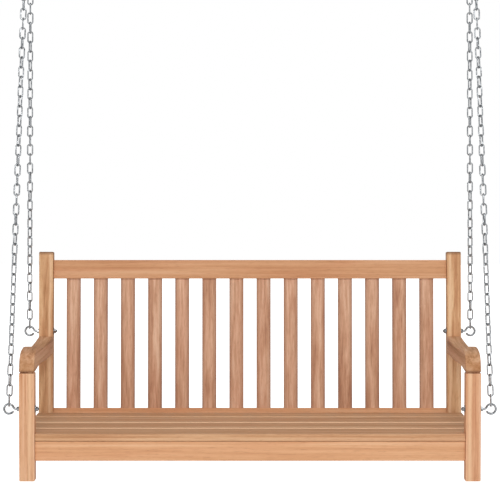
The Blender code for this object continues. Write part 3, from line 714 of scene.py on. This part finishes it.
def makeScrew(head, height, shank, length):
    # a domed cross-head screw that points down -Z, its head's underside at the origin
    bpy.ops.object.select_all(action="DESELECT")
    bpy.ops.mesh.primitive_cylinder_add(vertices=24, radius=head, depth=height, location=(0, 0, height / 2))
    piece = bpy.context.active_object
    bpy.ops.object.transform_apply(location=True)
    bpy.ops.object.mode_set(mode="EDIT")
    pick(piece, "EDGE", lambda edge: min(vert.co.z for vert in edge.verts) > height * 0.9)
    bpy.ops.mesh.bevel(offset=height * screw["dome"], segments=4, affect="EDGES")
    pick(piece, "FACE", lambda face: face.normal.z < -0.9)
    bpy.ops.mesh.inset(thickness=head - shank)
    bpy.ops.mesh.extrude_region_move(TRANSFORM_OT_translate={"value": (0, 0, -length)})
    bpy.ops.object.mode_set(mode="OBJECT")
    for turn in (0, math.pi / 2):
        bpy.ops.object.select_all(action="DESELECT")
        size = (head * screw["slotLong"], screw["slot"], screw["slotDeep"] * 2)
        bpy.ops.mesh.primitive_cube_add(size=1, scale=size, location=(0, 0, height), rotation=(0, 0, turn))
        boolean(piece, bpy.context.active_object, "DIFFERENCE")
    smooth(piece, screw["smoothBelow"])
    return piece


def placeCopies(name, pattern, places, body, material, turn=0.0):
    # copies of one small piece, each at its own angle, joined
    copies = []
    for number, place in enumerate(places):
        piece = bpy.data.objects.new(name, pattern.data.copy())
        bpy.context.scene.collection.objects.link(piece)
        piece.matrix_world = (Matrix.Translation(place) @ Matrix.Rotation(turn, 4, "X")
                              @ Matrix.Rotation(math.radians(screw["turn"] * number), 4, "Z"))
        copies.append(piece)
    bpy.ops.object.select_all(action="DESELECT")
    for piece in copies:
        piece.select_set(True)
    bpy.context.view_layer.objects.active = copies[0]
    bpy.ops.object.join()
    applyAll(copies[0])
    copies[0].name = name
    copies[0].data.materials.clear()
    copies[0].data.materials.append(material)
    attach(copies[0], body)


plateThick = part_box("ceiling_plate_left")[1].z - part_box("ceiling_plate_left")[0].z
plateScrew = makeScrew(screw["head"], screw["height"], screw["shank"], plateThick)
for side in sides:
    makeHangingRing(side)
    makeCeilingEye(side)
    makeCeilingPlate(side)
    low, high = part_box(f"ceiling_plate_{side}")
    middle = (low + high) / 2
    holes = [Vector((middle.x, middle.y + way * plate["spacing"] / 2, low.z)) for way in (-1, 1)]
    placeCopies(f"plate_screws_{side}", plateScrew, holes, "hanger", fittingZinc, math.pi)
bpy.data.objects.remove(plateScrew, do_unlink=True)
print("hangers ready")


# a teak plug hides each screw that holds a slat down
plug = {"radius": 0.0048, "height": 0.004, "proud": 0.0003, "ease": 0.0002, "figure": 40,
        "rows": (0.25, 0.75), "frontRows": (0.50, 0.82)}


def makePlug():
    bpy.ops.object.select_all(action="DESELECT")
    bpy.ops.mesh.primitive_cylinder_add(vertices=20, radius=plug["radius"], depth=plug["height"],
                                        location=(0, 0, plug["proud"] - plug["height"] / 2))
    piece = bpy.context.active_object
    bpy.ops.object.transform_apply(location=True)
    bpy.ops.object.mode_set(mode="EDIT")
    pick(piece, "EDGE", lambda edge: min(vert.co.z for vert in edge.verts) > 0)
    bpy.ops.mesh.bevel(offset=plug["ease"], segments=2, affect="EDGES")
    bpy.ops.object.mode_set(mode="OBJECT")
    smooth(piece, smoothBelow["timber"])
    return piece


pattern = makePlug()
plugTeak = oiledTeak("oiled_teak_plugs", "seat", "X", plug["figure"], [])
rails = [boxMiddle(node).x for node in ("side_rail_left", "centre_support", "side_rail_right")]
for node in [node for node in sorted(nodes) if node.startswith("seat_slat")]:
    low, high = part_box(node)
    rows = plug["frontRows"] if node.endswith("_1") else plug["rows"]
    spots = [Vector((x, low.y + row * (high.y - low.y), high.z)) for x in rails for row in rows]
    placeCopies(node.replace("slat", "plugs"), pattern, spots, "bench", plugTeak)
bpy.data.objects.remove(pattern, do_unlink=True)
print("seat plugs ready")


studio = {"floorDrop": 0.32, "floorSize": 40.0, "floorTone": "F2F2F2", "floorRoughness": 0.9,
          "world": 0.38, "floorGlow": 0.15}
keyLight = {"place": (0, -3.4, 3.6), "target": (0, 0, 0.25), "size": (2.6, 1.4), "power": 88.0}
fillLight = {"place": (3.0, -3.6, 1.2), "target": (0, 0, 0.3), "size": (1.6, 1.8), "power": 22.0}


def makeFloor():
    bpy.ops.object.select_all(action="DESELECT")
    bpy.ops.mesh.primitive_plane_add(size=studio["floorSize"], location=(0, 0, -studio["floorDrop"]))
    floor = bpy.context.active_object
    floor.name = "floor"
    material, tree, shader = newMaterial("painted_floor")
    shader.inputs["Base Color"].default_value = linearColour(studio["floorTone"])
    shader.inputs["Roughness"].default_value = studio["floorRoughness"]
    shader.inputs["Emission Color"].default_value = (1, 1, 1, 1)
    path = addNode(tree, "ShaderNodeLightPath")
    glow = addNode(tree, "ShaderNodeMapRange", i0=path.outputs["Is Camera Ray"],
                   i3=studio["floorGlow"], i4=1.0)
    tree.links.new(glow.outputs[0], shader.inputs["Emission Strength"])
    floor.data.materials.append(material)
    floor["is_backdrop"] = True


def makeLight(name, lamp, way=1):
    # way -1 puts the same light on the other side
    light = bpy.data.lights.new(name, "AREA")
    light.shape = "RECTANGLE"
    light.size, light.size_y = lamp["size"]
    light.energy = lamp["power"]
    place = Vector(lamp["place"])
    place.x *= way
    stand = bpy.data.objects.new(name, light)
    bpy.context.scene.collection.objects.link(stand)
    stand.location = place
    stand.rotation_euler = (Vector(lamp["target"]) - place).to_track_quat("-Z", "Y").to_euler()


def makeWorld():
    # white to look at, softer as a light
    world = bpy.data.worlds.new("studio")
    bpy.context.scene.world = world
    world.use_nodes = True
    tree = world.node_tree
    backdrop = tree.nodes["Background"]
    path = addNode(tree, "ShaderNodeLightPath")
    strength = addNode(tree, "ShaderNodeMapRange", i0=path.outputs["Is Camera Ray"],
                       i3=studio["world"], i4=1.0)
    backdrop.inputs["Color"].default_value = (1, 1, 1, 1)
    tree.links.new(strength.outputs[0], backdrop.inputs["Strength"])


makeFloor()
makeWorld()
makeLight("key", keyLight)
for way in (-1, 1):
    makeLight("fill", fillLight, way)

# metres, then the tilt in degrees, then mm
cameraView = {"distance": 5.368, "height": 0.7975, "tilt": 2.08, "lens": 149.4, "sensor": 36}
camera = bpy.data.objects.new("camera", bpy.data.cameras.new("camera"))
bpy.context.scene.collection.objects.link(camera)
camera.location = (0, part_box("front_leg_left")[0].y - cameraView["distance"], cameraView["height"])
camera.rotation_euler = (math.radians(90 - cameraView["tilt"]), 0, 0)
camera.data.lens = cameraView["lens"]
camera.data.sensor_width = cameraView["sensor"]
bpy.context.scene.camera = camera
bpy.context.scene.view_settings.view_transform = "Standard"
print("studio ready")

low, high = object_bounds()
